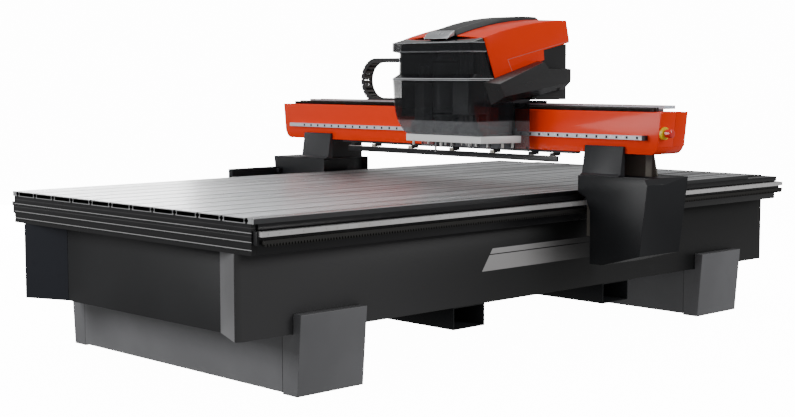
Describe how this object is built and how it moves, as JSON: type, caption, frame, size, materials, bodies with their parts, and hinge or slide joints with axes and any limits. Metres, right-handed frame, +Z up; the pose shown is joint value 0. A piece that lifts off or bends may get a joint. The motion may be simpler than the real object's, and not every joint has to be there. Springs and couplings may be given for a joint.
{
  "type": "gantry cnc router",
  "caption": "Gantry router for wood panels: T-slot table on a plinth bed, travelling box beam, and a hooded head with a milling spindle and drilling unit.",
  "frame": {"origin": "on the floor, under the table's centre line, midway along the machine's length", "axes": "+X along the gantry beam to the right seen from the front, +Y along the table away from the front end, +Z up"},
  "size_m": [2.795, 3.805, 1.6264],
  "materials": {
    "black_paint": "fine textured powder coat",
    "dark_paint": "satin powder coat",
    "grey_paint": "satin powder coat",
    "light_paint": "satin silver paint",
    "orange_paint": "gloss paint",
    "table_aluminium": "anodised, finely ribbed",
    "ground_steel": "ground and oiled",
    "dark_steel": "blackened",
    "smoked_cover": "smoked clear acrylic",
    "white_moulding": "satin",
    "black_moulding": "gloss",
    "silver_moulding": "metallic lacquer",
    "chain_plastic": "moulded",
    "stop_red": "gloss",
    "stop_yellow": "gloss"
  },
  "bodies": {
    "bed": {"plinths": "dark_paint", "foot_covers": "dark_paint", "fork_tubes": "dark_paint", "side_panels": "black_paint", "corner_strips": "light_paint", "end_panels": "black_paint", "base_frame": "grey_paint", "deck_beams": "grey_paint", "side_beams": "black_paint", "end_profiles": "black_paint", "table_planks": "table_aluminium", "y_rail_bars": "black_paint", "y_rails": "ground_steel", "y_racks": "dark_steel"},
    "gantry": {"gantry_beam": "orange_paint", "beam_end_plates": "orange_paint", "stop_housing": "stop_yellow", "x_rails": "ground_steel", "x_rack": "dark_steel", "chain_tray": "light_paint", "cross_bar": "dark_paint", "bar_hangers": "black_paint", "legs": "dark_paint", "leg_covers": "dark_paint", "y_rail_blocks": "ground_steel", "y_drives": "black_paint", "guard_arm": "black_paint", "x_chain_lower": "chain_plastic"},
    "carriage": {"carriage_plate": "dark_paint", "lower_shroud": "smoked_cover", "upper_shroud": "smoked_cover", "hood_visor": "black_moulding", "side_covers": "orange_paint", "roof_covers": "orange_paint", "roof_strip": "black_moulding", "hood_cap": "silver_moulding", "side_pods": "black_moulding", "base_ring": "white_moulding", "rear_housing": "black_paint", "x_rail_blocks": "ground_steel", "x_drive": "black_paint", "z_rails": "ground_steel", "z_motor": "black_paint", "lift_barrel": "table_aluminium", "guide_unit": "grey_paint"},
    "stop_button": {"stop_button": "stop_red"},
    "left_y_pinion": {"left_y_pinion": "ground_steel"},
    "right_y_pinion": {"right_y_pinion": "ground_steel"},
    "x_pinion": {"x_pinion": "ground_steel"},
    "chain_bend": {"x_chain_bend": "chain_plastic", "x_chain_upper": "chain_plastic"},
    "spindle_slide": {"spindle_slide": "grey_paint", "spindle_motor": "dark_paint"},
    "tool_holder": {"tool_holder": "ground_steel"},
    "ball_screw": {"ball_screw": "ground_steel"},
    "drill_slide": {"drill_block": "table_aluminium"},
    "drill_spindle_1": {"drill_spindle_1": "ground_steel"},
    "drill_spindle_2": {"drill_spindle_2": "ground_steel"},
    "drill_spindle_3": {"drill_spindle_3": "ground_steel"}
  },
  "joints": [
    {"name": "gantry_travel", "type": "slide", "parent": "bed", "child": "gantry", "axis": [0, 1, 0], "range_m": [-1.95, 1.45]},
    {"name": "carriage_travel", "type": "slide", "parent": "gantry", "child": "carriage", "axis": [1, 0, 0], "range_m": [-0.76, 0.31], "deforming": ["x_chain_upper", "x_chain_lower"]},
    {"name": "chain_roll", "type": "slide", "parent": "gantry", "child": "chain_bend", "axis": [1, 0, 0], "range_m": [-0.385, 0.16]},
    {"name": "left_y_pinion_turn", "type": "hinge", "parent": "gantry", "child": "left_y_pinion", "pos_m": [-0.95, 0.265, 0.61], "axis": [1, 0, 0], "range_deg": [-2240, 1670]},
    {"name": "right_y_pinion_turn", "type": "hinge", "parent": "gantry", "child": "right_y_pinion", "pos_m": [0.95, 0.265, 0.61], "axis": [1, 0, 0], "range_deg": [-2240, 1670]},
    {"name": "x_pinion_turn", "type": "hinge", "parent": "carriage", "child": "x_pinion", "pos_m": [0.342, 0.164, 1.156], "axis": [0, 0, 1], "range_deg": [-2185, 895]},
    {"name": "stop_press", "type": "slide", "parent": "gantry", "child": "stop_button", "axis": [-1, 0, 0], "range_m": [0, 0.006], "stiffness_N_per_m": 1500},
    {"name": "spindle_travel", "type": "slide", "parent": "carriage", "child": "spindle_slide", "axis": [0, 0, 1], "range_m": [-0.185, 0.03]},
    {"name": "tool_spin", "type": "hinge", "parent": "spindle_slide", "child": "tool_holder", "pos_m": [0.142, -0.011, 1.2], "axis": [0, 0, 1], "continuous": true},
    {"name": "ball_screw_turn", "type": "hinge", "parent": "carriage", "child": "ball_screw", "pos_m": [0.142, 0.098, 1.2], "axis": [0, 0, 1], "range_deg": [-3650, 600]},
    {"name": "drill_travel", "type": "slide", "parent": "carriage", "child": "drill_slide", "axis": [0, 0, 1], "range_m": [-0.185, 0.02]},
    {"name": "drill_spin_1", "type": "hinge", "parent": "drill_slide", "child": "drill_spindle_1", "pos_m": [0.262, -0.015, 1.1], "axis": [0, 0, 1], "continuous": true},
    {"name": "drill_spin_2", "type": "hinge", "parent": "drill_slide", "child": "drill_spindle_2", "pos_m": [0.294, -0.015, 1.1], "axis": [0, 0, 1], "continuous": true},
    {"name": "drill_spin_3", "type": "hinge", "parent": "drill_slide", "child": "drill_spindle_3", "pos_m": [0.326, -0.015, 1.1], "axis": [0, 0, 1], "continuous": true}
  ],
  "couplings": [
    {"joint": "chain_roll", "follows": "carriage_travel", "ratio": 0.5},
    {"joint": "left_y_pinion_turn", "follows": "gantry_travel", "rad_per_m": 20},
    {"joint": "right_y_pinion_turn", "follows": "gantry_travel", "rad_per_m": 20},
    {"joint": "x_pinion_turn", "follows": "carriage_travel", "rad_per_m": 50},
    {"joint": "ball_screw_turn", "follows": "spindle_travel", "rad_per_m": 314.16},
    {"joint": "drill_spin_2", "follows": "drill_spin_1", "ratio": -1},
    {"joint": "drill_spin_3", "follows": "drill_spin_1", "ratio": 1}
  ]
}
